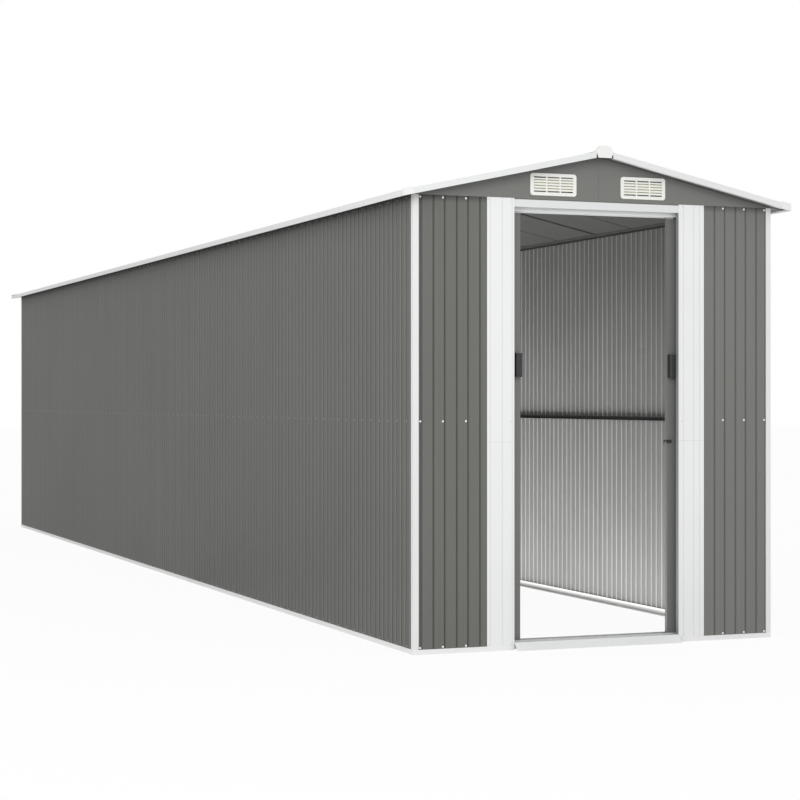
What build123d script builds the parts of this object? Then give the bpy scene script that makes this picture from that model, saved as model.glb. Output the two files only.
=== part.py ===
"""Metal storage shed with a gable roof and two sliding doors, in millimetres.

X is the width, Y the length and Z is up. The doorway faces -Y. The origin is on the ground, under
the middle of the roof. Depths are measured inward from the outer face of the corner posts, and both
doors stand open.
"""

from math import cos, radians, sin
import os

from build123d import *

# Body
body_width = 1780.0
body_length = 9180.0
wall_top = 1985.0
post_leg = 26.0
post_thick = 1.5
sheet_thick = 1.0
rail_thick = 1.5
seat_gap = 0.3

# Pressed grooves of the wall sheets
groove_pitch = 109.86
groove_second = 57.0
groove_half = 6.0
groove_depth = 8.0
side_first_groove = 34.0
left_first_groove = 39.5
right_first_groove = 1.0
back_first_groove = 37.0
sheet_end_gap = 3.0

# Base, middle and top rails
base_height = 22.0
base_upstand = 32.0
base_foot = 30.0
mitre_depth = 60.0
mid_rail_height = 20.0
mid_rail_depth = 15.0
mid_rail_level = 1002.0
top_rail_drop = 18.0
side_rail_drop = 8.0
top_rail_depth = 30.0

# Roof
roof_slope = 0.2195
roof_side_overhang = 70.0
roof_end_overhang = 65.0
trim_height = 27.0
trim_lap = 20.0
trim_thick = 1.5
eave_lift = 26.6
roof_rib_pitch = 439.44
roof_rib_top = 12.0
roof_rib_base = 20.0
roof_end_bay = 1772.0
strap_width = 30.0
strap_thick = 4.0
beam_half = 22.0
beam_drop = 24.0
ridge_cap_lift = 4.0
end_cap_half = 41.0
end_cap_flat = 20.0
end_cap_rise = 19.0
end_cap_shoulder = 6.0
end_cap_bottom = 32.0
end_cap_height = 54.0
end_cap_chamfer = 22.0
end_cap_depth = 22.0
corner_cap_side = 46.0
corner_cap_depth = 10.0
corner_cap_height = 33.0
corner_cap_lift = 6.0

# Doorway
doorway_width = 818.0
doorway_shift = 2.5
jamb_width = 131.0
jamb_lap = 12.0
jamb_return = 24.0
jamb_notch = 28.0
left_crease_shares = (0.126, 0.569, 0.927)
right_crease_shares = (0.156, 0.393, 0.805)
jamb_crease_half = 3.0
jamb_crease_depth = 1.0
gable_skirt = 4.5
header_height = 32.5
header_return = 12.0
threshold_run = 35.0
threshold_height = 33.5

# Door tracks
track_front = 41.0
track_width = 58.0
track_drop = 54.0
track_height = 45.0
track_lip = 17.0
track_end_gap = 45.0
guide_front = 45.0
guide_width = 47.0
guide_height = 38.0

# Doors
door_face = 60.0
door_depth = 20.0
door_bottom = 20.0
door_top_gap = 5.0
door_left_shows = 55.5
door_right_shows = 26.5
door_end_room = 84.0
door_stile = 25.0
door_groove_pitch = 55.0
door_groove_depth = 5.0
door_rail_height = 40.0
hanger_length = 60.0
hanger_inset = 70.0
hanger_stem = 8.0
hanger_head = 30.0
hanger_head_height = 14.0
handle_width = 32.0
handle_height = 105.0
handle_depth = 30.0
handle_round = 6.0
handle_inset = 2.0
handle_bottom = 1200.0
hasp_bottom = 903.0
hasp_height = 14.0
hasp_thick = 3.0
hasp_gap = 5.0
hasp_reach = 21.0
hasp_foot_start = 1.0
hasp_foot_end = 19.0
hasp_leg = 5.0
hasp_slot = 8.0

# Gable vents
vent_width = 225.0
vent_height = 98.0
vent_lift = 16.0
vent_centre = 223.0
vent_thick = 4.0
vent_radius = 12.0
vent_corner_steps = 3
vent_margin = 12.0
vent_rows = 6
vent_columns = 3
slot_width = 60.0
slot_height = 6.0
slot_pitch_x = 66.0
slot_pitch_z = 12.5

half_width = body_width / 2
half_length = body_length / 2
sheet_inner = post_thick + sheet_thick
rail_face = sheet_inner + groove_depth + seat_gap
roof_half_width = half_width + roof_side_overhang
roof_half_length = half_length + roof_end_overhang
slope_stretch = (1 + roof_slope**2) ** 0.5
ridge_line = wall_top + eave_lift + roof_slope * half_width
vent_bottom = wall_top + vent_lift
doorway_left = half_width - doorway_width / 2 - doorway_shift
doorway_right = doorway_left + doorway_width
track_bottom = wall_top - track_drop
door_top = track_bottom - door_top_gap
door_left_edge = doorway_left + door_left_shows
door_right_edge = doorway_right - door_right_shows
door_width = door_left_edge - door_end_room


def write(name, *solids):
    """Saves one piece, or one group of like pieces, under its own name."""
    shape = solids[0] if len(solids) == 1 else Compound(children=list(solids))
    export_step(shape, f"parts/{name}.step")


def prism(points, axis, start, end):
    """Sweeps a flat outline along one axis. The outline's two numbers are the other two axes."""
    place = {
        "x": lambda a, b: (start, a, b),
        "y": lambda a, b: (a, start, b),
        "z": lambda a, b: (a, b, start),
    }[axis]
    way = {"x": (1, 0, 0), "y": (0, 1, 0), "z": (0, 0, 1)}[axis]
    outline = make_face(Polyline(*[place(a, b) for a, b in points], close=True))
    return extrude(outline, amount=end - start, dir=way)


def box(low, high):
    """A plain block between two opposite corners."""
    size = [b - a for a, b in zip(low, high)]
    return Pos(*low) * Box(*size, align=(Align.MIN, Align.MIN, Align.MIN))


def folded(path, thickness):
    """Outline of bent sheet: the path is one face, and the metal lies to its right, with mitred bends."""
    ways = [(Vector(*b) - Vector(*a)).normalized() for a, b in zip(path, path[1:])]
    sides = [Vector(w.Y, -w.X) for w in ways]
    bends = [sides[0]]
    for one, two in zip(sides, sides[1:]):
        bends.append((one + two) / (1 + one.dot(two)))
    bends.append(sides[-1])
    inner = [Vector(*p) + b * thickness for p, b in zip(path, bends)]
    return list(path) + [(v.X, v.Y) for v in reversed(inner)]


def grooved(start, end, grooves, depth=groove_depth):
    """Outline of a flat sheet with V grooves pressed inward at the given places, as (along, depth)."""
    line = [(start, 0.0)]
    for place in grooves:
        line += [(place - groove_half, 0.0), (place, depth), (place + groove_half, 0.0)]
    line.append((end, 0.0))
    return line + [(a, b + sheet_thick) for a, b in reversed(line)]


def groove_places(first, start, end):
    """Centres of the paired grooves that fit whole between start and end, counted from first."""
    places = []
    place = first
    while place < end:
        places += [place, place + groove_second]
        place += groove_pitch
    return [p for p in places if start + groove_half < p < end - groove_half]


def left(x):
    """Place across the front, from a distance measured from the left corner post's outer face."""
    return x - half_width


def other_side(shape):
    """The same piece on the right-hand side."""
    return mirror(shape, about=Plane.YZ)


def other_end(shape):
    """The same piece at the back."""
    return mirror(shape, about=Plane.XZ)


def roof_under(x):
    """Height of the roof sheet's underside at a distance x from the middle."""
    return ridge_line - trim_height + trim_thick * slope_stretch - roof_slope * abs(x)


def base_section(face):
    """Base rail: foot on the ground, outer lip, ledge for the sheets and upstand behind them."""
    path = [
        (base_foot, 0.0),
        (0.0, 0.0),
        (0.0, base_height),
        (rail_face, base_height),
        (rail_face, base_upstand),
    ]
    return [(face + d, z) for d, z in folded(path, rail_thick)]


def mitre(reach, other_reach):
    """Block that keeps the part of a rail between two 45 degree cuts at the corners."""
    return [
        (-reach, -other_reach),
        (reach, -other_reach),
        (reach - mitre_depth, mitre_depth - other_reach),
        (mitre_depth - reach, mitre_depth - other_reach),
    ]


def base_rails():
    """Four base rails with mitred ends. The front one is cut away at the doorway."""
    front = prism(base_section(-half_length), "x", -half_width, half_width)
    front = front & prism(mitre(half_width, half_length), "z", 0.0, base_upstand)
    side = prism(base_section(-half_width), "y", -half_length, half_length)
    ends = [(b, a) for a, b in mitre(half_length, half_width)]
    side = side & prism(ends, "z", 0.0, base_upstand)
    write("base_rail_left", side)
    write("base_rail_right", other_side(side))
    write("base_rail_back", other_end(front))
    pieces = []
    for start, end, notch in (
        (0.0, doorway_left, doorway_left - sheet_thick - seat_gap),
        (doorway_right, body_width, doorway_right),
    ):
        keep = box((left(start), -half_length, 0), (left(end), 0, base_upstand))
        room = box(
            (left(notch), rail_face - half_length, base_height),
            (left(notch + sheet_thick + seat_gap), 0, base_upstand),
        )
        pieces.append(front & keep - room)
    write("base_rail_front", *pieces)


def corner_posts():
    """Equal angles over the ends of the wall sheets."""
    angle = [
        (0.0, 0.0),
        (post_leg, 0.0),
        (post_leg, post_thick),
        (post_thick, post_thick),
        (post_thick, post_leg),
        (0.0, post_leg),
    ]
    points = [(a - half_width, b - half_length) for a, b in angle]
    post = prism(points, "z", base_height, wall_top)
    write("corner_post_front_left", post)
    write("corner_post_front_right", other_side(post))
    write("corner_post_back_left", other_end(post))
    write("corner_post_back_right", other_end(other_side(post)))


def wall_sheets():
    """Grooved sheets of the two sides, the back and both sides of the doorway."""
    start = sheet_end_gap
    places = groove_places(side_first_groove, start, body_length - start)
    outline = grooved(start, body_length - start, places)
    points = [(post_thick + b - half_width, a - half_length) for a, b in outline]
    side = prism(points, "z", base_height, wall_top)
    write("side_wall_left", side)
    write("side_wall_right", other_side(side))
    places = groove_places(back_first_groove, start, body_width - start)
    outline = grooved(start, body_width - start, places)
    points = [(left(a), half_length - post_thick - b) for a, b in outline]
    write("back_wall", prism(points, "z", base_height, wall_top))
    jamb_start = doorway_left - jamb_width
    panel_end = jamb_start + jamb_lap
    places = groove_places(left_first_groove, start, jamb_start)
    outline = grooved(start, panel_end, places)
    points = [(left(a), post_thick + b - half_length) for a, b in outline]
    write("front_panel_left", prism(points, "z", base_height, wall_top))
    jamb_end = doorway_right + jamb_width
    places = groove_places(jamb_end + right_first_groove, jamb_end, body_width - start)
    outline = grooved(jamb_end - jamb_lap, body_width - start, places)
    points = [(left(a), post_thick + b - half_length) for a, b in outline]
    write("front_panel_right", prism(points, "z", base_height, wall_top))


def jamb_section(crease_shares):
    """Outline of the sheet beside the doorway, from its outer edge, as (along, depth)."""
    line = [(0.0, 0.0)]
    for share in crease_shares:
        place = share * jamb_width
        line += [
            (place - jamb_crease_half, 0.0),
            (place, jamb_crease_depth),
            (place + jamb_crease_half, 0.0),
        ]
    line += [(jamb_width, 0.0), (jamb_width, jamb_return)]
    return folded(line, -sheet_thick)


def jamb(crease_shares):
    """Light creased sheet left of the doorway, with a return into the opening below the top rail."""
    face = post_thick - sheet_thick
    top = wall_top - top_rail_drop - seat_gap
    outline = jamb_section(crease_shares)
    points = [(left(doorway_left - jamb_width + a), face + b - half_length) for a, b in outline]
    notch = box(
        (left(doorway_left) - jamb_notch, rail_face - seat_gap - half_length, top),
        (left(doorway_left), rail_face + jamb_return - half_length, wall_top),
    )
    return prism(points, "z", base_height, wall_top) - notch


def jambs():
    """Both jambs. The doorway stands a little left of the middle."""
    write("door_jamb_left", jamb(left_crease_shares))
    shift = Pos(-2 * doorway_shift, 0, 0)
    write("door_jamb_right", shift * other_side(jamb(right_crease_shares)))


def header():
    """Folded band over the doorway, below the skirt of the gable."""
    face = post_thick - sheet_thick
    top = wall_top - gable_skirt - seat_gap
    path = [
        (header_return, top),
        (face, top),
        (face, top - header_height),
        (header_return, top - header_height),
    ]
    points = [(d - half_length, z) for d, z in folded(path, -sheet_thick)]
    band = prism(points, "x", left(doorway_left + seat_gap), left(doorway_right - seat_gap))
    write("door_header", band)


def threshold():
    """Sloping sill in front of the doorway, with its level part back to the lower track."""
    path = [(-threshold_run, 0.0), (0.0, threshold_height), (guide_front - seat_gap, threshold_height)]
    points = [(d - half_length, z) for d, z in folded(path, rail_thick)]
    sill = prism(points, "x", left(doorway_left + seat_gap), left(doorway_right - seat_gap))
    write("door_threshold", sill & box((-half_width, -half_length * 2, 0), (half_width, 0, wall_top)))


def tracks():
    """Upper track that the doors hang in, and lower channel that keeps their feet."""
    low, high = track_bottom, track_bottom + track_height
    back = track_front + track_width
    path = [
        (track_front + track_lip, low),
        (track_front, low),
        (track_front, high),
        (back, high),
        (back, low),
        (back - track_lip, low),
    ]
    points = [(d - half_length, z) for d, z in folded(path, rail_thick)]
    write("door_track", prism(points, "x", left(track_end_gap), left(body_width - track_end_gap)))
    path = [
        (guide_front, guide_height),
        (guide_front, 0.0),
        (guide_front + guide_width, 0.0),
        (guide_front + guide_width, guide_height),
    ]
    points = [(d - half_length, z) for d, z in folded(path, -rail_thick)]
    write("door_guide", prism(points, "x", left(track_end_gap), left(body_width - track_end_gap)))


def middle_rails():
    """Rails half way up the walls, behind the grooves."""
    low = mid_rail_level - mid_rail_height / 2
    high = low + mid_rail_height
    path = [
        (rail_face + mid_rail_depth, low),
        (rail_face, low),
        (rail_face, high),
        (rail_face + mid_rail_depth, high),
    ]
    section = folded(path, rail_thick)
    reach = half_length - rail_face
    side = prism([(d - half_width, z) for d, z in section], "y", -reach, reach)
    write("mid_rail_left", side)
    write("mid_rail_right", other_side(side))
    start = rail_face + mid_rail_depth + seat_gap
    points = [(d - half_length, z) for d, z in section]
    back = other_end(prism(points, "x", left(start), left(body_width - start)))
    write("mid_rail_back", back)
    clear = sheet_thick + seat_gap
    near = prism(points, "x", left(start), left(doorway_left - clear))
    far = prism(points, "x", left(doorway_right + clear), left(body_width - start))
    write("mid_rail_front", near, far)


def top_rails():
    """Rails along the tops of the walls. The side ones lean with the roof."""
    inner = rail_face + top_rail_depth
    path = [
        (rail_face, wall_top - side_rail_drop),
        (rail_face, roof_under(half_width - rail_face) - seat_gap),
        (inner, roof_under(half_width - inner) - seat_gap),
    ]
    reach = half_length - rail_face
    points = [(d - half_width, z) for d, z in folded(path, rail_thick)]
    side = prism(points, "y", -reach, reach)
    write("top_rail_left", side)
    write("top_rail_right", other_side(side))
    low = wall_top - top_rail_drop
    level = track_bottom + track_height + rail_thick
    start = inner + seat_gap
    for name, depth, turn in (
        ("top_rail_front", track_front + track_width, lambda shape: shape),
        ("top_rail_back", inner, other_end),
    ):
        path = [(rail_face, low), (rail_face, level), (depth, level)]
        points = [(d - half_length, z) for d, z in folded(path, rail_thick)]
        write(name, turn(prism(points, "x", left(start), left(body_width - start))))


def gables():
    """Smooth halves of the two gables, with a flange on the wall sheets and a skirt over the doorway."""
    face = post_thick - sheet_thick - half_length
    outline = [
        (-half_width, wall_top),
        (0.0, wall_top),
        (0.0, roof_under(0) - seat_gap),
        (-half_width, roof_under(half_width) - seat_gap),
    ]
    plate = prism(outline, "y", face, face + sheet_thick)
    flange = box(
        (post_thick - half_width, face, wall_top),
        (0.0, rail_face - seat_gap - half_length, wall_top + sheet_thick),
    )
    reach = vent_width / 2 - vent_margin
    hole = box(
        (-vent_centre - reach, face - vent_thick, vent_bottom + vent_margin),
        (-vent_centre + reach, face + 2 * sheet_thick, vent_bottom + vent_height - vent_margin),
    )
    half = plate + flange - hole
    skirt = box(
        (doorway_shift + seat_gap - doorway_width / 2, face, wall_top - gable_skirt),
        (0.0, face + sheet_thick, wall_top),
    )
    write("gable_front_left", half + skirt)
    write("gable_front_right", other_side(half + skirt))
    write("gable_back_left", other_end(half))
    write("gable_back_right", other_end(other_side(half)))


def vent_outline():
    """Points round a vent plate, with each rounded corner drawn in a few short steps."""
    points = []
    for quarter, (side, up) in enumerate(((1, 1), (-1, 1), (-1, -1), (1, -1))):
        for step in range(vent_corner_steps + 1):
            turn = radians(90 * (quarter + step / vent_corner_steps))
            points.append(
                (
                    side * (vent_width / 2 - vent_radius) + vent_radius * cos(turn),
                    up * (vent_height / 2 - vent_radius) + vent_radius * sin(turn),
                )
            )
    return points


def vents():
    """Louvred vent plates on the gables."""
    face = post_thick - sheet_thick - half_length
    plate = make_face(Polyline(*vent_outline(), close=True))
    with_slots = plate
    for location in GridLocations(slot_pitch_x, slot_pitch_z, vent_columns, vent_rows):
        with_slots = with_slots - location * Rectangle(slot_width, slot_height)
    place = Plane(
        origin=(-vent_centre, face, vent_bottom + vent_height / 2), x_dir=(1, 0, 0), z_dir=(0, -1, 0)
    )
    vent = extrude(place * with_slots, amount=vent_thick)
    write("vents_front", vent, other_side(vent))
    write("vents_back", other_end(vent), other_end(other_side(vent)))


def roof():
    """Roof sheets, and what carries them: ridge beam and cross straps under the laps."""
    edge = roof_half_width - trim_thick
    rise = trim_height - 2 * trim_thick * slope_stretch - sheet_thick - seat_gap
    reach = roof_half_length - trim_thick
    count = int((2 * reach - roof_rib_base) // roof_rib_pitch)
    line = [(-reach, 0.0)]
    for k in range(count + 1):
        middle = (k - count / 2) * roof_rib_pitch
        line += [
            (middle - roof_rib_base / 2, 0.0),
            (middle - roof_rib_top / 2, rise),
            (middle + roof_rib_top / 2, rise),
            (middle + roof_rib_base / 2, 0.0),
        ]
    line.append((reach, 0.0))
    outline = line + [(a, b + sheet_thick) for a, b in reversed(line)]
    end = make_face(Polyline(*[(-edge, y, roof_under(edge) + z) for y, z in outline], close=True))
    run = edge - seat_gap
    slope = extrude(end, amount=run * slope_stretch, dir=(1, 0, roof_slope))
    write("roof_left", slope)
    write("roof_right", other_side(slope))
    under = roof_under(0) - seat_gap
    drop = under - beam_drop
    side = roof_under(beam_half) - seat_gap
    path = [(beam_half, drop), (beam_half, side), (0.0, under), (-beam_half, side), (-beam_half, drop)]
    beam = prism(folded(path, -rail_thick), "y", rail_face - half_length, half_length - rail_face)
    write("ridge_beam", beam)
    straps = []
    outer = half_width - rail_face - top_rail_depth - rail_thick * roof_slope - seat_gap
    inner = beam_half + seat_gap
    first = roof_half_length - roof_end_bay
    for place in (-first, -first / 3, first / 3, first):
        line = [
            (-outer, roof_under(outer) - seat_gap),
            (-inner, roof_under(inner) - seat_gap),
            (-inner, roof_under(inner) - seat_gap - strap_thick),
            (-outer, roof_under(outer) - seat_gap - strap_thick),
        ]
        strap = prism(line, "y", place - strap_width / 2, place + strap_width / 2)
        straps += [strap, other_side(strap)]
    write("roof_straps", *straps)


def trims():
    """Folded trims over the edges of the roof."""
    eave_top = ridge_line - roof_slope * roof_half_width
    eave_low = eave_top - trim_height
    lap = trim_lap
    outer = -roof_half_width
    path = [
        (outer + lap, eave_top + roof_slope * lap),
        (outer, eave_top),
        (outer, eave_low),
        (outer + lap, eave_low + roof_slope * lap),
    ]
    reach = roof_half_length - corner_cap_depth - seat_gap
    eave = prism(folded(path, -trim_thick), "y", -reach, reach)
    write("eave_trim_left", eave)
    write("eave_trim_right", other_side(eave))
    path = [(lap, trim_height), (0.0, trim_height), (0.0, 0.0), (lap, 0.0)]
    section = folded(path, -trim_thick)
    start = roof_half_width - corner_cap_side - seat_gap
    low = ridge_line - roof_slope * start - trim_height
    end = make_face(
        Polyline(*[(-start, d - roof_half_length, low + z) for d, z in section], close=True)
    )
    run = start - end_cap_half - seat_gap
    verge = extrude(end, amount=run * slope_stretch, dir=(1, 0, roof_slope))
    write("verge_trim_front", verge, other_side(verge))
    write("verge_trim_back", other_end(verge), other_end(other_side(verge)))


def corner_caps():
    """Moulded caps over the four corners of the roof, open towards both trims."""
    outer = -roof_half_width
    high = ridge_line - roof_slope * roof_half_width + corner_cap_lift
    low = high - corner_cap_height
    inner = outer + corner_cap_side
    rise = roof_slope * corner_cap_side
    outline = [(outer, low), (outer, high), (inner, high + rise), (inner, low + rise)]
    solid = prism(outline, "y", -roof_half_length, corner_cap_depth - roof_half_length)
    start = outer + trim_thick
    lean = roof_slope * trim_thick
    room = [
        (start, low + lean + trim_thick),
        (start, high + lean - trim_thick),
        (inner + trim_thick, high + rise + lean - trim_thick),
        (inner + trim_thick, low + rise + lean + trim_thick),
    ]
    hollow = prism(room, "y", trim_thick - roof_half_length, corner_cap_side - roof_half_length)
    cap = solid - hollow
    write("corner_caps", cap, other_side(cap), other_end(cap), other_end(other_side(cap)))


def ridge_caps():
    """Low folded cap along the ridge, and the moulded caps that stand over its two ends."""
    reach = roof_half_length - trim_thick - seat_gap
    half = end_cap_half - trim_thick - seat_gap
    brim = ridge_line - roof_slope * (half - trim_thick) - trim_thick * slope_stretch
    side = ridge_line - roof_slope * half + ridge_cap_lift
    path = [(-half, brim), (-half, side), (0.0, ridge_line + ridge_cap_lift), (half, side), (half, brim)]
    write("ridge_cap", prism(folded(path, trim_thick), "y", -reach, reach))
    shoulder = ridge_line - roof_slope * end_cap_half + seat_gap
    top = ridge_line + end_cap_rise
    hood = [
        (-end_cap_half, shoulder),
        (-end_cap_half, shoulder + end_cap_shoulder),
        (-end_cap_flat, top),
        (end_cap_flat, top),
        (end_cap_half, shoulder + end_cap_shoulder),
        (end_cap_half, shoulder),
    ]
    low = top - end_cap_height
    plate = [
        (-end_cap_bottom, low),
        (-end_cap_half, low + end_cap_chamfer),
        *hood[1:-1],
        (end_cap_half, low + end_cap_chamfer),
        (end_cap_bottom, low),
    ]
    cap = prism(plate, "y", -roof_half_length, trim_thick - roof_half_length)
    cap += prism(folded(hood, trim_thick), "y", -roof_half_length, end_cap_depth - roof_half_length)
    write("ridge_end_cap_front", cap)
    write("ridge_end_cap_back", other_end(cap))


def leaf_span(edge, way):
    """Both edges of a leaf, from its leading edge. way is +1 if it closes towards +X."""
    return sorted((edge, edge - way * door_width))


def door(edge, way):
    """One door leaf: grooved sheet with a return down each side."""
    low, high = leaf_span(edge, way)
    count = int((door_width - 2 * door_stile) // door_groove_pitch)
    first = (low + high - (count - 1) * door_groove_pitch) / 2
    places = [first + k * door_groove_pitch for k in range(count)]
    line = grooved(low, high, places, door_groove_depth)
    skin = prism([(left(a), door_face + b - half_length) for a, b in line], "z", door_bottom, door_top)
    for side in (low, high - sheet_thick):
        skin += box(
            (left(side), door_face - half_length, door_bottom),
            (left(side + sheet_thick), door_face + door_depth - half_length, door_top),
        )
    return skin


def door_frame(edge, way):
    """Channels across the foot, middle and top of a leaf, behind its sheet."""
    low, high = leaf_span(edge, way)
    front = door_face + sheet_thick + door_groove_depth + seat_gap
    back = door_face + door_depth
    bars = []
    for level in (door_bottom, mid_rail_level - door_rail_height / 2, door_top - door_rail_height):
        top = level + door_rail_height
        path = [(back, level), (front, level), (front, top), (back, top)]
        points = [(d - half_length, z) for d, z in folded(path, rail_thick)]
        bars.append(prism(points, "x", left(low + sheet_thick), left(high - sheet_thick)))
    return bars


def hangers(edge, way):
    """Sliders that carry a leaf: a head on the track's lips and a stem down to the leaf's top rail."""
    middle = track_front + track_width / 2 - half_length
    seat = track_bottom + rail_thick + seat_gap
    made = []
    for inset in (hanger_inset, door_width - hanger_inset):
        place = left(edge - way * inset)
        head = box(
            (place - hanger_length / 2, middle - hanger_head / 2, seat),
            (place + hanger_length / 2, middle + hanger_head / 2, seat + hanger_head_height),
        )
        stem = box(
            (place - hanger_length / 2, middle - hanger_stem / 2, door_top),
            (place + hanger_length / 2, middle + hanger_stem / 2, seat),
        )
        made.append(head + stem)
    return made


def handle(start):
    """Moulded pull on the face of a leaf."""
    block = box(
        (left(start), door_face - handle_depth - half_length, handle_bottom),
        (left(start + handle_width), door_face - half_length, handle_bottom + handle_height),
    )
    front = block.edges().filter_by(Axis.Z).sort_by(Axis.Y)[:2]
    return fillet(front, handle_round)


def hasp():
    """Small hooked plate on the right leaf. It reaches past the leaf's edge, in front of the other leaf."""
    back = door_face - hasp_gap - half_length
    tip = door_right_edge - hasp_reach
    top = hasp_bottom + hasp_height
    plate = box(
        (left(tip), back - hasp_thick, hasp_bottom),
        (left(door_right_edge + hasp_foot_end), back, top),
    )
    slot = box(
        (left(tip + hasp_leg), back - hasp_thick, hasp_bottom),
        (left(tip + hasp_leg + hasp_slot), back, top - hasp_leg),
    )
    foot = box(
        (left(door_right_edge + hasp_foot_start), back, hasp_bottom),
        (left(door_right_edge + hasp_foot_end), door_face - half_length, top),
    )
    return plate - slot + foot


def doors():
    """Both leaves, open, with their frames, sliders and pulls."""
    write("door_left", door(door_left_edge, 1))
    write("door_right", door(door_right_edge, -1))
    write("door_left_frame", *door_frame(door_left_edge, 1))
    write("door_right_frame", *door_frame(door_right_edge, -1))
    write("door_left_hangers", *hangers(door_left_edge, 1))
    write("door_right_hangers", *hangers(door_right_edge, -1))
    write("door_left_handle", handle(door_left_edge - handle_inset - handle_width))
    write("door_right_handle", handle(door_right_edge + handle_inset))
    write("door_hasp", hasp())


os.makedirs("parts", exist_ok=True)
base_rails()
corner_posts()
wall_sheets()
jambs()
header()
threshold()
tracks()
middle_rails()
top_rails()
gables()
vents()
roof()
trims()
corner_caps()
ridge_caps()
doors()
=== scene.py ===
"""Finishes, screw caps, vent blades and studio for a metal storage shed.

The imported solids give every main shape. This file dresses them, adds the small parts and sets the camera.
Lengths are metres: X is the width, Y the length away from the doorway, and Z is up.
"""

import math

import bpy
import numpy as np
from bpy.props import FloatProperty, FloatVectorProperty, IntProperty, PointerProperty
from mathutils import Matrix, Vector


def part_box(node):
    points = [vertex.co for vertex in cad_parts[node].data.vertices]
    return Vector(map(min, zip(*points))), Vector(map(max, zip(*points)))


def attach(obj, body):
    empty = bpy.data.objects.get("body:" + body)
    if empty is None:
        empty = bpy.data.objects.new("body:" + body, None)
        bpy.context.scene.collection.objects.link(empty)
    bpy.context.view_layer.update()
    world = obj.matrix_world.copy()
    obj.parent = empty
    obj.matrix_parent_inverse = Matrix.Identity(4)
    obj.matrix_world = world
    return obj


bl_info = {
    "name": "Metal storage shed",
    "version": (1, 0, 0),
    "blender": (4, 5, 0),
    "location": "3D View > Sidebar > Shed",
    "description": "Dresses a metal storage shed with sliding doors and sets up its studio",
    "category": "Object",
}

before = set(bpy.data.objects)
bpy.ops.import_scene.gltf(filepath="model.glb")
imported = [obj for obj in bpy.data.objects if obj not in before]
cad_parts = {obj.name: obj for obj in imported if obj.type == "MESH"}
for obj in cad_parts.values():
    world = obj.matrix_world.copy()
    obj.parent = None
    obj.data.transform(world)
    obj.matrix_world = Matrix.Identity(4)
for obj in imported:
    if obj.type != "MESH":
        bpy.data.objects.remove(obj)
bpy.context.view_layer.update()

MM = 0.001
WALL_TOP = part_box("side_wall_left")[1].z

# Pressed pattern of the wall sheets, as in the solids: pairs of grooves, by their centres
GROOVE_PITCH = 0.10986
GROOVE_SECOND = 0.057
GROOVE_DEPTH = 0.008

# First groove of each sheet, from the sheet's own end, or for the front right from the jamb
SIDE_FIRST = 0.031
FRONT_LEFT_FIRST = 0.0365
FRONT_RIGHT_FIRST = 0.001
BACK_FIRST = 0.034

# Painted light and shade on the wall sheets: painted shade along a crease before the first groove of each
# pair, a painted highlight on the shoulder after every groove, a painted shadow where a front panel meets
# its post, and painted shade under the eaves
SIDE_CREASE = 0.016
FRONT_CREASE = 0.024
CREASE_HALF = 2.2 * MM
SHOULDER_PLACE = 0.0095
SHOULDER_HALF = 5.0 * MM
GAP_HALF = 5.0 * MM
EAVE_SHADE = 0.030

# Half the width of a fine seam, and the place and half width of the line of painted shade along the foot of
# the gables
SEAM_HALF = 1.2 * MM
FOOT_SHADE_BELOW = 0.002
FOOT_SHADE_HALF = 2.5 * MM

# Creases of the two jambs, drawn as lines of painted shade, as shares of the width from the outer edge, and
# the height of their joint
LEFT_CREASES = (0.126, 0.569, 0.927)
RIGHT_CREASES = (0.156, 0.393, 0.805)
JAMB_CREASE_HALF = 4.0 * MM
JAMB_JOINT = 0.914

# Joints of the eave trims, from the front of the shed
EAVE_JOINTS = (0.753, 2.391, 3.353, 5.120, 6.623, 8.191)
EAVE_JOINT_HALF = 1.5 * MM

# Screws: how far they stand before a groove and from a sheet's end. Those of the front and the jambs are
# given by their distances from the shed's left side.
SCREW_BEFORE = 0.0105
SCREW_EDGE = 0.030
FRONT_SCREWS = (0.0335, 0.139, 0.2475, 1.527, 1.638, 1.7455)
JAMB_SCREWS = (0.3545, 0.4595, 1.4185, 1.3135)

# Profile of a screw cap from its foot to its crown, as shares of its radius and of its rise
CAP_RADII = (1.0, 1.0, 0.80, 0.42)
CAP_HEIGHTS = (-0.12, 0.45, 0.86, 1.0)

# Vent slots, as in the solids, and the blades behind four of the six rows, counted from 0 at the bottom.
# A blade has a half width, a start below the face of the vent plate and a rise towards the inside.
VENT_CENTRE = 0.223
SLOT_ROWS = 6
SLOT_PITCH = 0.0125
BLADED_ROWS = (1, 2, 3, 4)
BLADE_HALF = 0.096
BLADE_START = 0.0036
BLADE_RISE = 0.0084

# The camera's level direction, and its small shift
CAMERA_AIM = (0.3626, 0.9320)
CAMERA_SHIFT = -0.0009

# Half the side of the floor, and how far behind the front the inner fill has its middle
FLOOR_REACH = 60.0
FILL_BEHIND = 2.6

# What each finish goes on. The ridge cap has the verges' finish, and the beam and straps the inner rails'.
WALL_SIDES = ("side_wall_left", "side_wall_right")
GABLES = ("gable_front_left", "gable_front_right", "gable_back_left", "gable_back_right")
ROOFS = ("roof_left", "roof_right")
DOORS = ("door_left", "door_right")
JAMBS = ("door_jamb_left", "door_jamb_right")
POSTS = (
    "corner_post_front_left",
    "corner_post_front_right",
    "corner_post_back_left",
    "corner_post_back_right",
)
EAVES = ("eave_trim_left", "eave_trim_right")
VERGES = ("verge_trim_front", "verge_trim_back", "ridge_cap")
BASES = ("base_rail_front", "base_rail_back", "base_rail_left", "base_rail_right")
DARK_RAILS = (
    "mid_rail_front",
    "mid_rail_back",
    "mid_rail_left",
    "mid_rail_right",
    "top_rail_front",
    "top_rail_back",
    "top_rail_left",
    "top_rail_right",
    "ridge_beam",
    "roof_straps",
)
ZINC = ("door_left_frame", "door_right_frame")
CAPS = ("corner_caps", "ridge_end_cap_front", "ridge_end_cap_back")
VENTS = ("vents_front", "vents_back")
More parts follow.
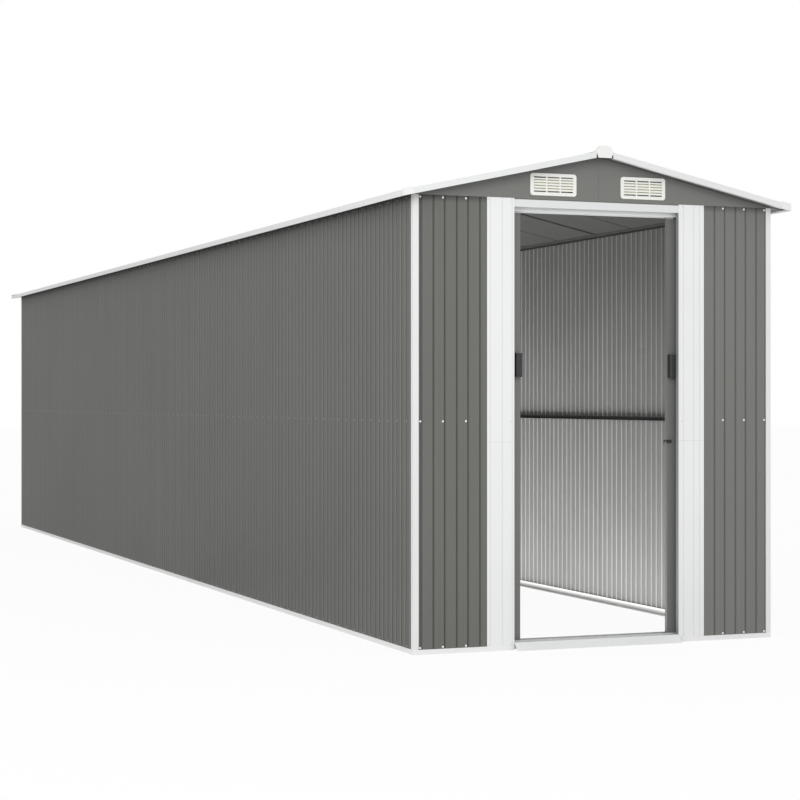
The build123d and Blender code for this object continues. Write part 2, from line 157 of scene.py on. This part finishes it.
BLACKS = (
    "door_left_handle",
    "door_right_handle",
    "door_hasp",
    "door_left_hangers",
    "door_right_hangers",
)


def screen(red, green, blue):
    """Linear colour of a screen colour given as three numbers from 0 to 255."""
    part = np.array((red, green, blue)) / 255.0
    linear = np.where(part <= 0.04045, part / 12.92, ((part + 0.055) / 1.055) ** 2.4)
    return tuple(linear.tolist())


def colour(name, description, *values):
    """A colour that the user can change."""
    return FloatVectorProperty(
        name=name, description=description, size=3, subtype="COLOR", min=0, max=1, default=screen(*values)
    )


def length(name, description, metres):
    """A length that the user can change."""
    return FloatProperty(name=name, description=description, default=metres, min=0, unit="LENGTH")


def number(name, description, value):
    """A plain number that the user can change."""
    return FloatProperty(name=name, description=description, default=value, min=0)


class ShedColours(bpy.types.PropertyGroup):
    """Colours of the shed's finishes."""

    wall: colour("Walls", "Coating of the wall sheets", 117, 118, 114)
    # The wall backs are set much lighter than the outer coat: painted light that brightens the inside of
    # the shed
    inside: colour("Wall backs", "Coating on the inner face of the wall sheets", 160, 161, 159)
    roof: colour("Roof", "Coating of the roof sheets", 112, 113, 109)
    door: colour("Doors", "Coating of the door leaves", 122, 122, 120)
    jamb: colour("Jambs", "Light sheets round the doorway and the threshold", 238, 239, 239)
    trim: colour("Trims", "Corner posts, roof trims and ridge cap", 230, 231, 231)
    track: colour("Upper track", "Track that the doors hang from", 252, 253, 253)
    base: colour("Base rails", "Rails on the ground", 238, 239, 238)
    dark: colour("Inner rails", "Dark rails, ridge beam and straps inside the shed", 62, 63, 62)
    zinc: colour("Zinc", "Frames of the door leaves", 150, 152, 151)
    guide: colour("Lower track", "Track that the doors run in", 214, 216, 215)
    cap: colour("Roof caps", "Moulded caps at the corners and ridge ends", 238, 238, 236)
    vent: colour("Vents", "Moulded vent plates", 241, 241, 236)
    blade: colour("Vent blades", "Slanted blades behind the vent slots", 248, 246, 226)
    handle: colour("Handles", "Moulded pulls, hasp and hangers", 44, 46, 45)
    screw: colour("Screw caps", "Caps over the screws of the front and the jambs", 238, 238, 238)
    stud: colour("Wall screws", "Painted screws on the side and back walls", 136, 137, 133)


class ShedSizes(bpy.types.PropertyGroup):
    """Sizes of the parts that are added to the solids."""

    cap_width: length("Cap width", "Width of a screw cap", 0.010)
    cap_rise: length("Cap rise", "Height of a screw cap above the sheet", 0.0026)
    cap_sides: IntProperty(name="Cap sides", description="Sides of a screw cap", default=10, min=6, max=16)
    base_row: length("Lowest screws", "Height of the lowest row of screws", 0.030)
    middle_row: length("Middle screws", "Height of the middle row of screws", 1.006)
    top_row: length("Top screws", "Height of the top row of screws", 1.975)
    blade_depth: length("Blade depth", "How far a vent blade reaches back", 0.011)
    blade_thick: length("Blade thickness", "Thickness of a vent blade", 0.0025)


class ShedStudio(bpy.types.PropertyGroup):
    """Camera and light."""

    camera_place: FloatVectorProperty(
        name="Camera place",
        description="Where the camera stands",
        size=3,
        subtype="TRANSLATION",
        default=(-4.021, -12.482, 1.1014),
    )
    camera_turn: FloatProperty(
        name="Camera turn",
        description="Turn of the camera from straight along the shed",
        subtype="ANGLE",
        default=math.atan2(*CAMERA_AIM),
    )
    lens: number("Lens", "Focal length in millimetres on a sensor 36 wide", 88.83)
    sky: number("Sky light", "Light from all round, where 1 shows a colour as it is", 0.71)
    key: number("Key lamp", "Brightness of the large lamp in front on the left", 2.8)
    side: number("Side lamp", "Brightness of the lamp on the left of the near corner", 3.6)
    fill: number("Fill lamp", "Brightness of the low lamp inside the shed", 3.1)
    floor_shade: number("Floor shade", "Share of the floor that takes the object's shadow", 0.06)


class Wire:
    """An output of a shader node. Python maths on it adds Math nodes, and make() adds any other node."""

    def __init__(self, tree, socket=None):
        self.tree, self.socket = tree, socket

    def make(self, kind, settings=None, inputs=None, out=0):
        """Adds a node of any kind. Its settings are set first, then its inputs, by name or number."""
        node = self.tree.nodes.new(kind)
        for name, value in (settings or {}).items():
            setattr(node, name, value)
        for name, value in (inputs or {}).items():
            if isinstance(value, Wire):
                self.tree.links.new(value.socket, node.inputs[name])
            else:
                node.inputs[name].default_value = value
        return Wire(self.tree, node.outputs[out])

    def maths(self, operation, first, second=0.0, clamp=False):
        return self.make(
            "ShaderNodeMath", {"operation": operation, "use_clamp": clamp}, {0: first, 1: second}
        )

    def __add__(self, other):
        return self.maths("ADD", self, other)

    def __radd__(self, other):
        return self.maths("ADD", other, self)

    def __sub__(self, other):
        return self.maths("SUBTRACT", self, other)

    def __rsub__(self, other):
        return self.maths("SUBTRACT", other, self)

    def __mul__(self, other):
        return self.maths("MULTIPLY", self, other)

    def __rmul__(self, other):
        return self.maths("MULTIPLY", other, self)

    def __truediv__(self, other):
        return self.maths("DIVIDE", self, other)

    def __lt__(self, other):
        return self.maths("LESS_THAN", self, other)

    def __abs__(self):
        return self.maths("ABSOLUTE", self)

    def clamped(self):
        return self.maths("ADD", self, 0.0, clamp=True)

    def blend(self, first, second):
        """Mixes two colours, with this wire as the share of the second."""
        first, second = (c if isinstance(c, Wire) else (*c, 1.0) for c in (first, second))
        return self.make("ShaderNodeMix", {"data_type": "RGBA"}, {0: self, 6: first, 7: second}, out=2)


def shaded(tint, share):
    """The same colour with a share of its light taken off."""
    return tuple(part * (1 - share) for part in tint)


def lighter(tint, share):
    """The same colour brought nearer to white by a share."""
    return tuple(part + (1 - part) * share for part in tint)


class Finish:
    """A material under way: its shader, and wires that hold the place and the normal on the piece."""

    def __init__(self, name, roughness, metallic=0.0, specular=0.5):
        self.material = bpy.data.materials.new(name)
        self.material.use_nodes = True
        self.tree = self.material.node_tree
        self.shader = self.tree.nodes["Principled BSDF"]
        self.shader.inputs["Roughness"].default_value = roughness
        self.shader.inputs["Metallic"].default_value = metallic
        self.shader.inputs["Specular IOR Level"].default_value = specular
        base = Wire(self.tree)
        self.place = base.make("ShaderNodeTexCoord", out="Object")
        self.normal = base.make("ShaderNodeTexCoord", out="Normal")
        self.base = base

    def axis(self, wire, name):
        return self.base.make("ShaderNodeSeparateXYZ", inputs={0: wire}, out=name)

    def facing(self, axis, sign):
        """1 on faces that look along an axis: +1 or -1 for one way, 0 for both."""
        part = self.axis(self.normal, axis)
        part = abs(part) if sign == 0 else part * sign
        return ((part - 0.7) * 5.0).clamped()

    def noise(self, scale, detail=2.0, stretch=(1.0, 1.0, 1.0)):
        """Soft noise from 0 to 1, with its pattern stretched along the axes."""
        moved = self.base.make("ShaderNodeMapping", inputs={"Vector": self.place, "Scale": stretch})
        return self.base.make(
            "ShaderNodeTexNoise", inputs={"Vector": moved, "Scale": scale, "Detail": detail}
        )

    def line(self, along, place, half):
        """1 on a line across the piece at one place, falling to 0 at its half width."""
        return (1.0 - abs(along - place) / half).clamped()

    def repeated(self, along, first, pitch, half):
        """1 on lines that repeat with an even pitch, falling to 0 at their half width."""
        turn = self.base.maths("FRACT", (along - first) / pitch + 0.5)
        return (1.0 - abs(turn - 0.5) * pitch / half).clamped()

    def paint(self, wire):
        self.tree.links.new(wire.socket, self.shader.inputs["Base Color"])
        return self

    def rough(self, wire):
        self.tree.links.new(wire.socket, self.shader.inputs["Roughness"])
        return self

    def relief(self, height, distance):
        """Raises the surface by a height wire, in metres at full height."""
        bump = self.base.make("ShaderNodeBump", inputs={"Height": height, "Distance": distance})
        self.tree.links.new(bump.socket, self.shader.inputs["Normal"])
        return self


def dress(finish, names):
    """Puts a finish on CAD nodes, through their own material slots."""
    for name in names:
        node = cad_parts[name]
        if not node.material_slots:
            node.data.materials.append(finish.material)
        for place in node.material_slots:
            place.material = finish.material


def wall_finish(name, axis, face, along, first, crease, tint, dark=0.14, edge=0.0, gap=None):
    """Coated wall sheet, lighter inside: painted shade in its grooves, along a crease before every other
    groove and under the eaves, and a painted highlight after every groove.

    The depth below the outer face is the face's distance from the middle less the place's own. first is
    the place of the first groove, and crease is how far the crease stands before it. dark is the share of
    light taken off in a groove as painted shade, and edge the share of white in the painted highlight on
    its shoulder. gap is where the sheet meets a post, in a thin line of painted shadow.
    """
    tints = bpy.context.scene.shed_colours
    finish = Finish(name, 0.50, specular=0.06)
    across = finish.axis(finish.place, axis)
    depth = face - abs(across)
    deep = (depth / GROOVE_DEPTH).clamped()
    inner = (finish.axis(finish.normal, axis) * across) < 0.0
    broad = finish.noise(1.1, 3.0)
    drawn = finish.noise(2.0, 2.0, (6.0, 6.0, 0.35))
    run = finish.axis(finish.place, along)
    # Painted highlight: a lighter line on the shoulder just after every groove
    shoulder = first + SHOULDER_PLACE
    shoulder_highlight = finish.repeated(run, shoulder, GROOVE_PITCH, SHOULDER_HALF)
    shoulder_highlight = shoulder_highlight + finish.repeated(run, shoulder + GROOVE_SECOND, GROOVE_PITCH, SHOULDER_HALF)
    # Painted shade: darker with depth in the grooves
    outer = deep.blend(tint, shaded(tint, dark))
    if edge:
        outer = shoulder_highlight.clamped().blend(outer, lighter(tint, edge))
    # Painted shadow: a thin dark line where the sheet meets a post
    if gap is not None:
        outer = finish.line(run, gap, GAP_HALF).blend(outer, shaded(tint, 0.75))
    # Painted shade along the crease before the first groove of each pair
    fold = finish.repeated(run, first - crease, GROOVE_PITCH, CREASE_HALF)
    outer = (fold * 0.75).blend(outer, shaded(tint, 0.20))
    # Painted shade: a band under the eaves that darkens towards the top of the wall
    under = ((finish.axis(finish.place, "Z") - (WALL_TOP - EAVE_SHADE)) / EAVE_SHADE).clamped()
    outer = (under * 0.9).blend(outer, shaded(tint, 0.60))
    # Inner face: painted shade on the flats and a painted highlight on the ridges that the grooves make
    # inside
    back = (deep * deep).blend(shaded(tints.inside, 0.30), lighter(tints.inside, 0.35))
    tone = inner.blend(outer, back)
    tone = ((broad - 0.5) * 0.35 + (drawn - 0.5) * 0.25 + 0.12).clamped().blend(tone, shaded(tint, 0.35))
    finish.paint(tone)
    finish.rough(0.46 + finish.noise(60.0) * 0.10)
    return finish.relief(finish.noise(900.0, 3.0) + finish.noise(7.0) * 3.0, 0.00008)


def smooth_finish(name, tint, roughness, seams_and_shade_lines=(), turned=()):
    """Coated sheet or trim. seams_and_shade_lines holds (axis, place, half width, share of dark) for dark
    joint lines and lines of painted shade.

    turned holds (axis, sign, share of dark) for faces that look another way, such as folded edges and
    undersides, darkened as painted shade.
    """
    finish = Finish(name, roughness)
    broad = finish.noise(1.6, 3.0)
    tone = ((broad - 0.5) * 0.5 + 0.10).clamped().blend(tuple(tint), shaded(tint, 0.22))
    for axis, place, half, dark in seams_and_shade_lines:
        mark = finish.line(finish.axis(finish.place, axis), place, half)
        tone = (mark * dark).blend(tone, shaded(tint, 0.75))
    for axis, sign, dark in turned:
        tone = finish.facing(axis, sign).blend(tone, shaded(tint, dark))
    finish.paint(tone)
    finish.rough(roughness - 0.04 + finish.noise(45.0) * 0.08)
    return finish.relief(finish.noise(800.0, 3.0) + finish.noise(6.0) * 3.0, 0.00006)


def moulded_finish(name, tint, roughness, grain):
    """Moulded plastic with a fine even grain."""
    finish = Finish(name, roughness)
    tone = ((finish.noise(9.0) - 0.5) * 0.4 + 0.08).clamped().blend(tuple(tint), shaded(tint, 0.18))
    finish.paint(tone)
    finish.rough(roughness - 0.05 + finish.noise(120.0) * 0.10)
    return finish.relief(finish.noise(2200.0, 2.0), grain)


def zinc_finish(name, tint):
    """Dull zinc coating with its soft spangle."""
    finish = Finish(name, 0.42, metallic=0.55)
    cells = finish.base.make(
        "ShaderNodeTexVoronoi", inputs={"Vector": finish.place, "Scale": 140.0}, out="Distance"
    )
    finish.paint((cells * 0.9).clamped().blend(tuple(tint), shaded(tint, 0.25)))
    finish.rough(0.38 + finish.noise(80.0) * 0.12)
    return finish.relief(cells, 0.00003)


def solid_from(name, points, faces):
    """Makes a mesh object at the origin from arrays of points and of four-sided faces."""
    mesh = bpy.data.meshes.new(name)
    mesh.from_pydata(points.tolist(), [], faces.tolist())
    mesh.validate()
    mesh.update()
    piece = bpy.data.objects.new(name, mesh)
    bpy.context.scene.collection.objects.link(piece)
    return piece


def outward(axis_index, sign):
    """Unit vectors out of a wall, along it and up it, as a right-handed set."""
    out = np.zeros(3)
    out[axis_index] = sign
    up = np.array((0.0, 0.0, 1.0))
    return out, np.cross(up, out), up


def cap_group(name, places, out, along, up, sizes):
    """Round screw caps at many places, as one piece.

    A cap is a half profile carried round its own axis: radius r times (cos a, sin a) across the wall and
    a height out of it, closed by a flat foot a little inside the sheet and by a small flat crown.
    """
    sides = sizes.cap_sides
    angle = np.arange(sides) * (2 * math.pi / sides)
    radius = np.array(CAP_RADII) * sizes.cap_width / 2
    height = np.array(CAP_HEIGHTS) * sizes.cap_rise
    ring = (
        radius[:, None, None] * (np.cos(angle)[None, :, None] * along + np.sin(angle)[None, :, None] * up)
        + height[:, None, None] * out
    )
    ring = ring.reshape(-1, 3)
    foot, crown = out * height[0], out * height[-1]
    one = np.vstack((ring, foot, crown))
    rows = len(radius)
    here = np.arange(sides)
    ahead = (here + 1) % sides
    band = np.stack((here, ahead, sides + ahead, sides + here), axis=1)
    quads = np.vstack([row * sides + band for row in range(rows - 1)])
    last = (rows - 1) * sides
    bottom, top = rows * sides, rows * sides + 1
    low = np.stack((ahead, here, np.full(sides, bottom)), axis=1)
    high = np.stack((last + here, last + ahead, np.full(sides, top)), axis=1)
    places = np.asarray(places)
    points = (places[:, None, :] + one[None, :, :]).reshape(-1, 3)
    step = len(one) * np.arange(len(places))
    mesh = bpy.data.meshes.new(name)
    many = [
        (block[None, :, :] + step[:, None, None]).reshape(-1, block.shape[1]).tolist()
        for block in (quads, low, high)
    ]
    mesh.from_pydata(points.tolist(), [], many[0] + many[1] + many[2])
    mesh.validate()
    mesh.update()
    mesh.shade_smooth()
    piece = bpy.data.objects.new(name, mesh)
    bpy.context.scene.collection.objects.link(piece)
    return piece


def rows_of(along, levels):
    """Every pair of a place along the wall and a level, as two flat arrays."""
    places, heights = np.meshgrid(np.asarray(along), np.asarray(levels))
    return places.ravel(), heights.ravel()


def screw_places(first, start, end):
    """Places between start and end, one groove pitch apart and in step with first."""
    count = int((end - first) / GROOVE_PITCH) + 2
    places = first + GROOVE_PITCH * np.arange(-1, count)
    return places[(places > start) & (places < end)]


class SHED_OT_sheets(bpy.types.Operator):
    """Finish the walls, gables, roof and door leaves"""

    bl_idname = "shed.sheets"
    bl_label = "Sheets"

    def execute(self, context):
        tints = context.scene.shed_colours
        grey = tuple(tints.wall)
        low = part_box("side_wall_left")[0]
        # The sides take the wall colour darkened: painted shade
        first, tint = low.y + SIDE_FIRST, shaded(grey, 0.12)
        sides = wall_finish(
            "wall coating, sides", "X", -low.x, "Y", first, SIDE_CREASE, tint, dark=0.70, edge=0.13
        )
        dress(sides, WALL_SIDES)
        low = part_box("front_panel_left")[0]
        # The front left panel takes the wall colour a little darker: painted shade
        first, tint = low.x + FRONT_LEFT_FIRST, shaded(grey, 0.04)
        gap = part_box("corner_post_front_left")[1].x + MM
        left = wall_finish("wall coating, front left", "Y", -low.y, "X", first, FRONT_CREASE, tint, gap=gap)
        dress(left, ("front_panel_left",))
        # The front right panel takes the wall colour lighter: painted light
        first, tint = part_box("door_jamb_right")[1].x + FRONT_RIGHT_FIRST, lighter(grey, 0.038)
        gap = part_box("corner_post_front_right")[0].x - 2 * MM
        right = wall_finish(
            "wall coating, front right", "Y", -low.y, "X", first, FRONT_CREASE, tint, gap=gap
        )
        dress(right, ("front_panel_right",))
        low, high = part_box("back_wall")
        back = wall_finish("wall coating, back", "Y", high.y, "X", low.x + BACK_FIRST, FRONT_CREASE, grey)
        dress(back, ("back_wall",))
        # The gables have a dark joint down the middle and a line of painted shade along their foot
        seams_and_shade_lines = [("X", 0.0, SEAM_HALF, 0.8), ("Z", WALL_TOP - FOOT_SHADE_BELOW, FOOT_SHADE_HALF, 0.5)]
        dress(smooth_finish("gable coating", tints.wall, 0.46, seams_and_shade_lines), GABLES)
        # The underside of the roof sheets is darker: painted shade
        dress(smooth_finish("roof coating", tints.roof, 0.44, turned=[("Z", -1.0, 0.55)]), ROOFS)
        dress(smooth_finish("door coating", tints.door, 0.44), DOORS)
        return {"FINISHED"}


class SHED_OT_trims(bpy.types.Operator):
    """Finish the posts, jambs, header, threshold, roof trims, rails, tracks and door frames"""

    bl_idname = "shed.trims"
    bl_label = "Trims and rails"

    def execute(self, context):
        tints = context.scene.shed_colours
        for name, sign, shares in ((JAMBS[0], 1.0, LEFT_CREASES), (JAMBS[1], -1.0, RIGHT_CREASES)):
            low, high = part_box(name)
            outer = low.x if sign > 0 else high.x
            reach = sign * (high.x - low.x)
            # The creases are lines of painted shade, and the joint a dark joint line
            lines = [("X", outer + share * reach, JAMB_CREASE_HALF, 0.22) for share in shares]
            lines.append(("Z", JAMB_JOINT, SEAM_HALF, 0.35))
            side = name.removeprefix("door_jamb_")
            # The jamb's returns, which face across the doorway, are darker: painted shade
            jamb = smooth_finish(f"jamb coating, {side}", tints.jamb, 0.42, lines, [("X", 0.0, 0.70)])
            dress(jamb, (name,))
        dress(smooth_finish("post coating", tints.trim, 0.40), POSTS)
        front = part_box("corner_post_front_left")[0].y
        joints = [("Y", front + place, EAVE_JOINT_HALF, 0.6) for place in EAVE_JOINTS]
        dress(smooth_finish("eave coating", tints.trim, 0.40, joints), EAVES)
        dress(smooth_finish("verge coating", tints.trim, 0.40), VERGES)
        dress(smooth_finish("base coating", tints.base, 0.42), BASES)
        dress(smooth_finish("sill coating", tints.jamb, 0.36), ("door_threshold",))
        # The header is the jambs' colour darkened: painted shade
        dress(smooth_finish("header coating", shaded(tints.jamb, 0.10), 0.42), ("door_header",))
        dress(smooth_finish("track coating", tints.track, 0.38), ("door_track",))
        dress(smooth_finish("inner rail coating", tints.dark, 0.5), DARK_RAILS)
        dress(zinc_finish("zinc", tints.zinc), ZINC)
        dress(zinc_finish("bright zinc", tints.guide), ("door_guide",))
        return {"FINISHED"}


class SHED_OT_mouldings(bpy.types.Operator):
    """Finish the roof caps, vent plates, handles, hasp and hangers"""

    bl_idname = "shed.mouldings"
    bl_label = "Mouldings"

    def execute(self, context):
        tints = context.scene.shed_colours
        dress(moulded_finish("cap plastic", tints.cap, 0.45, 0.00003), CAPS)
        dress(moulded_finish("vent plastic", tints.vent, 0.48, 0.00003), VENTS)
        dress(moulded_finish("black plastic", tints.handle, 0.50, 0.00008), BLACKS)
        return {"FINISHED"}


class SHED_OT_screws(bpy.types.Operator):
    """Put capped screws on the front and the jambs, and painted ones on the other walls"""

    bl_idname = "shed.screws"
    bl_label = "Screws"

    def execute(self, context):
        sizes = context.scene.shed_sizes
        levels = (sizes.base_row, sizes.middle_row, sizes.top_row)
        tints = context.scene.shed_colours
        plastic = moulded_finish("screw cap plastic", tints.screw, 0.40, 0.00002)
        painted = moulded_finish("painted screw", tints.stud, 0.50, 0.00002)
        groups = []
        for side, sign in (("left", -1.0), ("right", 1.0)):
            low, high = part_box(f"side_wall_{side}")
            face = low.x if sign < 0 else high.x
            first = low.y + SIDE_FIRST + GROOVE_SECOND - SCREW_BEFORE
            y, z = rows_of(screw_places(first, low.y + SCREW_EDGE, high.y - SCREW_EDGE), levels)
            places = np.stack((np.full(len(y), face), y, z), axis=1)
            groups.append((f"screws_{side}", places, *outward(0, sign)))
        low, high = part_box("back_wall")
        first = low.x + BACK_FIRST - SCREW_BEFORE
        x, z = rows_of(screw_places(first, low.x + SCREW_EDGE, high.x - SCREW_EDGE), levels)
        places = np.stack((x, np.full(len(x), high.y), z), axis=1)
        groups.append(("screws_back", places, *outward(1, 1.0)))
        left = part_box("corner_post_front_left")[0].x
        for name, wall, distances in (
            ("screws_front", "front_panel_left", FRONT_SCREWS),
            ("screws_jambs", "door_jamb_left", JAMB_SCREWS),
        ):
            x, z = rows_of([left + distance for distance in distances], levels)
            places = np.stack((x, np.full(len(x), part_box(wall)[0].y), z), axis=1)
            groups.append((name, places, *outward(1, -1.0)))
        for name, places, out, along, up in groups:
            piece = cap_group(name, places, out, along, up, sizes)
            capped = name in ("screws_front", "screws_jambs")
            piece.data.materials.append((plastic if capped else painted).material)
            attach(piece, "shell")
        return {"FINISHED"}


class SHED_OT_vent_blades(bpy.types.Operator):
    """Put the slanted blades behind the slots of the vents"""

    bl_idname = "shed.vent_blades"
    bl_label = "Vent blades"

    def execute(self, context):
        sizes = context.scene.shed_sizes
        plastic = moulded_finish("blade plastic", context.scene.shed_colours.blade, 0.5, 0.00002)
        for end, sign in (("front", -1.0), ("back", 1.0)):
            low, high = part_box(f"vents_{end}")
            face = low.y if sign < 0 else high.y
            middle = (low.z + high.z) / 2
            levels = [middle + (row - (SLOT_ROWS - 1) / 2) * SLOT_PITCH for row in BLADED_ROWS]
            blades = [
                blade(centre, face, sign, level, sizes)
                for centre in (-VENT_CENTRE, VENT_CENTRE)
                for level in levels
            ]
            cube = np.array(
                ((0, 1, 3, 2), (4, 6, 7, 5), (0, 4, 5, 1), (2, 3, 7, 6), (0, 2, 6, 4), (1, 5, 7, 3))
            )
            if sign > 0:
                cube = cube[:, ::-1]
            faces = (cube[None] + len(blades[0]) * np.arange(len(blades))[:, None, None]).reshape(-1, 4)
            piece = solid_from(f"vent_blades_{end}", np.vstack(blades), faces)
            piece.data.materials.append(plastic.material)
            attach(piece, "shell")
        return {"FINISHED"}


def blade(centre, face, sign, level, sizes):
    """Eight corners of one blade: a thin strip across the vent that rises towards the inside.

    Its section is a parallelogram that starts just inside the back of the vent plate and goes into the shed
    by the blade depth, while it rises by the blade rise, with its middle at the slot's level.
    """
    front = face - sign * BLADE_START
    back = front - sign * sizes.blade_depth
    corners = []
    for x in (centre - BLADE_HALF, centre + BLADE_HALF):
        for y, z in ((front, level - BLADE_RISE / 2), (back, level + BLADE_RISE / 2)):
            corners += [(x, y, z), (x, y, z + sizes.blade_thick)]
    return np.array(corners)


class SHED_OT_studio(bpy.types.Operator):
    """Set the floor, the white surroundings, the lamps and the camera"""

    bl_idname = "shed.studio"
    bl_label = "Studio"

    def execute(self, context):
        studio = context.scene.shed_studio
        corners = FLOOR_REACH * np.array(((-1, -1, 0), (1, -1, 0), (1, 1, 0), (-1, 1, 0)))
        floor = solid_from("floor", corners, np.array(((0, 1, 2, 3),)))
        floor.data.materials.append(floor_material(studio))
        set_world(studio)
        lamp("key", studio.key, size=(6.0, 5.0), place=(-4.0, -13.2, 5.0), target=(0.0, -4.2, 1.0))
        side = lamp("side", studio.side, size=(3.0, 3.0), place=(-7.5, -8.5, 3.0), target=(-0.9, -3.5, 1.0))
        side.visible_camera = False
        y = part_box("side_wall_left")[0].y + FILL_BEHIND
        low, high = (0.0, y, 0.004), (0.0, y, 3.0)
        inside = lamp("inner fill", studio.fill, size=(1.7, 5.0), place=low, target=high)
        inside.visible_camera = False
        inside.visible_glossy = False
        set_camera(studio)
        context.scene.view_settings.view_transform = "Standard"
        return {"FINISHED"}


def floor_material(studio):
    """White floor: plain white to the camera and in reflections, but for a share that shows the shadow."""
    material = bpy.data.materials.new("floor")
    material.use_nodes = True
    tree = material.node_tree
    tree.nodes.clear()
    base = Wire(tree)
    seen = seen_directly(base)
    light = base.make("ShaderNodeEmission", inputs={"Strength": 1.0})
    matt = base.make("ShaderNodeBsdfDiffuse", inputs={"Color": (0.9, 0.9, 0.9, 1.0)})
    glow = base.make(
        "ShaderNodeMixShader", inputs={0: seen * (1.0 - studio.floor_shade), 1: matt, 2: light}
    )
    output = tree.nodes.new("ShaderNodeOutputMaterial")
    tree.links.new(glow.socket, output.inputs["Surface"])
    return material


def seen_directly(base):
    """1 for rays from the camera and for those that a gloss or a clear body sends on."""
    ray = base.make("ShaderNodeLightPath", out="Is Camera Ray")
    gloss = base.make("ShaderNodeLightPath", out="Is Glossy Ray")
    clear = base.make("ShaderNodeLightPath", out="Is Transmission Ray")
    return (ray + gloss + clear).clamped()


def set_world(studio):
    """White surroundings at strength 1 for direct sight, and a plain sky light for all else."""
    world = bpy.data.worlds.new("studio")
    world.use_nodes = True
    bpy.context.scene.world = world
    tree = world.node_tree
    base = Wire(tree)
    seen = seen_directly(base)
    strength = seen * (1.0 - studio.sky) + studio.sky
    shade = tree.nodes["Background"]
    shade.inputs["Color"].default_value = (1.0, 1.0, 1.0, 1.0)
    tree.links.new(strength.socket, shade.inputs["Strength"])


def lamp(name, brightness, size, place, target):
    """Flat soft lamp at a place, turned to a target. Its power is brightness times area times pi."""
    width, height = size
    data = bpy.data.lights.new(name, "AREA")
    data.shape = "RECTANGLE"
    data.size, data.size_y = width, height
    data.energy = brightness * width * height * math.pi
    piece = bpy.data.objects.new(name, data)
    piece.location = place
    aim = Vector(target) - Vector(place)
    piece.rotation_euler = aim.to_track_quat("-Z", "Y").to_euler()
    bpy.context.scene.collection.objects.link(piece)
    return piece


def set_camera(studio):
    """Level camera at the photograph's place and angle of view."""
    data = bpy.data.cameras.new("camera")
    data.lens = studio.lens
    data.sensor_width = 36.0
    data.shift_y = CAMERA_SHIFT
    data.clip_end = 200.0
    camera = bpy.data.objects.new("camera", data)
    camera.location = studio.camera_place
    camera.rotation_euler = (math.pi / 2, 0.0, -studio.camera_turn)
    bpy.context.scene.collection.objects.link(camera)
    bpy.context.scene.camera = camera


class SHED_PT_panel(bpy.types.Panel):
    """Colours, sizes and steps of the shed"""

    bl_idname = "SHED_PT_panel"
    bl_label = "Shed"
    bl_space_type = "VIEW_3D"
    bl_region_type = "UI"
    bl_category = "Shed"

    def draw(self, context):
        scene = context.scene
        for group in (scene.shed_colours, scene.shed_sizes, scene.shed_studio):
            column = self.layout.column(align=True)
            for name in group.__annotations__:
                column.prop(group, name)
        for step in STEPS:
            self.layout.operator(step.bl_idname)


STEPS = (
    SHED_OT_sheets,
    SHED_OT_trims,
    SHED_OT_mouldings,
    SHED_OT_screws,
    SHED_OT_vent_blades,
    SHED_OT_studio,
)
CLASSES = (ShedColours, ShedSizes, ShedStudio, *STEPS, SHED_PT_panel)


def register():
    for item in CLASSES:
        bpy.utils.register_class(item)
    bpy.types.Scene.shed_colours = PointerProperty(type=ShedColours)
    bpy.types.Scene.shed_sizes = PointerProperty(type=ShedSizes)
    bpy.types.Scene.shed_studio = PointerProperty(type=ShedStudio)


def unregister():
    del bpy.types.Scene.shed_studio
    del bpy.types.Scene.shed_sizes
    del bpy.types.Scene.shed_colours
    for item in reversed(CLASSES):
        bpy.utils.unregister_class(item)


def main():
    """Dresses the shed in order."""
    register()
    bpy.ops.shed.sheets()
    bpy.ops.shed.trims()
    bpy.ops.shed.mouldings()
    bpy.ops.shed.screws()
    bpy.ops.shed.vent_blades()
    bpy.ops.shed.studio()


if __name__ == "__main__":
    main()
